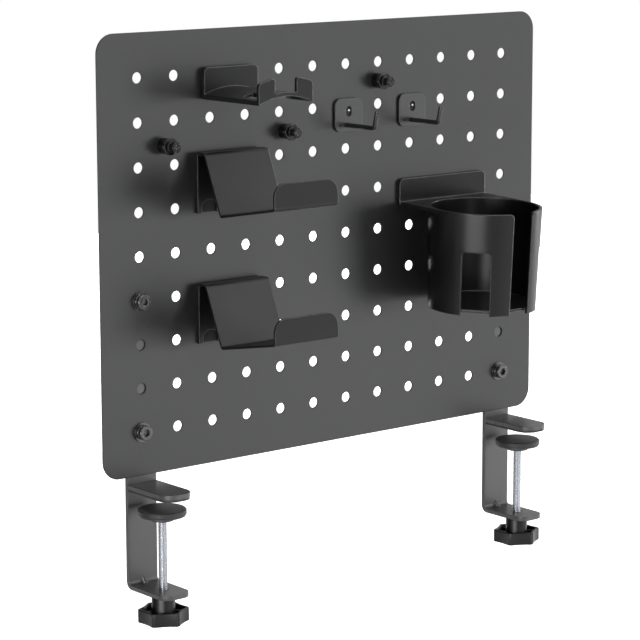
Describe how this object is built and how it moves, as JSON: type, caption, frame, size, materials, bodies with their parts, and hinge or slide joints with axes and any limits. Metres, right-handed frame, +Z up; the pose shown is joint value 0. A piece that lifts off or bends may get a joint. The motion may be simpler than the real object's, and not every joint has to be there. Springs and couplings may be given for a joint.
{
  "type": "desk clamp pegboard",
  "caption": "Steel desk pegboard on screw clamps with a magnetic cup holder, tilted holders, headphone hanger, hooks and push pins.",
  "frame": {"origin": "middle of the desk's rear top edge, in the plane where the jaw liners rest on the desk top", "axes": "+X to the right as the user faces the board, +Y away from the user, +Z up"},
  "size_m": [0.5, 0.1254, 0.504],
  "materials": {
    "powder_coat": "fine textured powder coat, dark grey",
    "clamp_coat": "satin powder coat, dark grey",
    "black_steel": "blackened satin",
    "zinc": "bright zinc plate",
    "black_plastic": "satin, lightly moulded texture",
    "gloss_plastic": "gloss",
    "rubber": "matt",
    "magnet": "matt flexible magnet",
    "disc_magnet": "nickel plate"
  },
  "bodies": {
    "board": {"pegboard_panel": "powder_coat", "left_bracket": "clamp_coat", "left_jaw": "clamp_coat", "left_jaw_liner": "rubber", "left_bush": "black_steel", "left_bolts": "black_steel", "left_washers": "black_steel", "left_nuts": "black_steel", "right_bracket": "clamp_coat", "right_jaw": "clamp_coat", "right_jaw_liner": "rubber", "right_bush": "black_steel", "right_bolts": "black_steel", "right_washers": "black_steel", "right_nuts": "black_steel"},
    "left_pad": {"left_pad_disc": "black_steel", "left_pad_rubber": "rubber"},
    "left_screw": {"left_clamp_screw": "zinc", "left_knob": "black_plastic"},
    "right_pad": {"right_pad_disc": "black_steel", "right_pad_rubber": "rubber"},
    "right_screw": {"right_clamp_screw": "zinc", "right_knob": "black_plastic"},
    "cup_holder": {"cup_holder": "black_plastic", "cup_holder_magnet": "magnet"},
    "upper_holder": {"upper_holder": "clamp_coat", "upper_holder_magnet": "magnet"},
    "lower_holder": {"lower_holder": "clamp_coat", "lower_holder_magnet": "magnet"},
    "hanger": {"hanger": "black_plastic", "hanger_magnet": "magnet"},
    "left_hook": {"left_hook_plate": "clamp_coat", "left_hook_wire": "clamp_coat", "left_hook_magnet": "magnet"},
    "right_hook": {"right_hook_plate": "clamp_coat", "right_hook_wire": "clamp_coat", "right_hook_magnet": "magnet"},
    "left_pin": {"left_pin": "gloss_plastic", "left_pin_magnet": "disc_magnet"},
    "middle_pin": {"middle_pin": "gloss_plastic", "middle_pin_magnet": "disc_magnet"},
    "right_pin": {"right_pin": "gloss_plastic", "right_pin_magnet": "disc_magnet"}
  },
  "joints": [
    {"name": "left_pad_feed", "type": "slide", "parent": "board", "child": "left_pad", "axis": [0, 0, 1], "range_m": [-0.06, 0]},
    {"name": "left_screw_turn", "type": "hinge", "parent": "left_pad", "child": "left_screw", "pos_m": [-0.209, -0.0291, -0.03], "axis": [0, 0, 1], "range_deg": [-17281, 0]},
    {"name": "right_pad_feed", "type": "slide", "parent": "board", "child": "right_pad", "axis": [0, 0, 1], "range_m": [-0.06, 0]},
    {"name": "right_screw_turn", "type": "hinge", "parent": "right_pad", "child": "right_screw", "pos_m": [0.209, -0.0291, -0.03], "axis": [0, 0, 1], "range_deg": [-17281, 0]},
    {"name": "cup_holder_pull_off", "type": "slide", "parent": "board", "child": "cup_holder", "axis": [0, -1, 0], "range_m": [0, 0.08]},
    {"name": "upper_holder_pull_off", "type": "slide", "parent": "board", "child": "upper_holder", "axis": [0, -1, 0], "range_m": [0, 0.08]},
    {"name": "lower_holder_pull_off", "type": "slide", "parent": "board", "child": "lower_holder", "axis": [0, -1, 0], "range_m": [0, 0.08]},
    {"name": "hanger_pull_off", "type": "slide", "parent": "board", "child": "hanger", "axis": [0, -1, 0], "range_m": [0, 0.08]},
    {"name": "left_hook_pull_off", "type": "slide", "parent": "board", "child": "left_hook", "axis": [0, -1, 0], "range_m": [0, 0.08]},
    {"name": "right_hook_pull_off", "type": "slide", "parent": "board", "child": "right_hook", "axis": [0, -1, 0], "range_m": [0, 0.08]},
    {"name": "left_pin_pull_off", "type": "slide", "parent": "board", "child": "left_pin", "axis": [0, -1, 0], "range_m": [0, 0.08]},
    {"name": "middle_pin_pull_off", "type": "slide", "parent": "board", "child": "middle_pin", "axis": [0, -1, 0], "range_m": [0, 0.08]},
    {"name": "right_pin_pull_off", "type": "slide", "parent": "board", "child": "right_pin", "axis": [0, -1, 0], "range_m": [0, 0.08]}
  ],
  "couplings": [
    {"joint": "left_screw_turn", "follows": "left_pad_feed", "rad_per_m": 5026.5},
    {"joint": "right_screw_turn", "follows": "right_pad_feed", "rad_per_m": 5026.5}
  ]
}
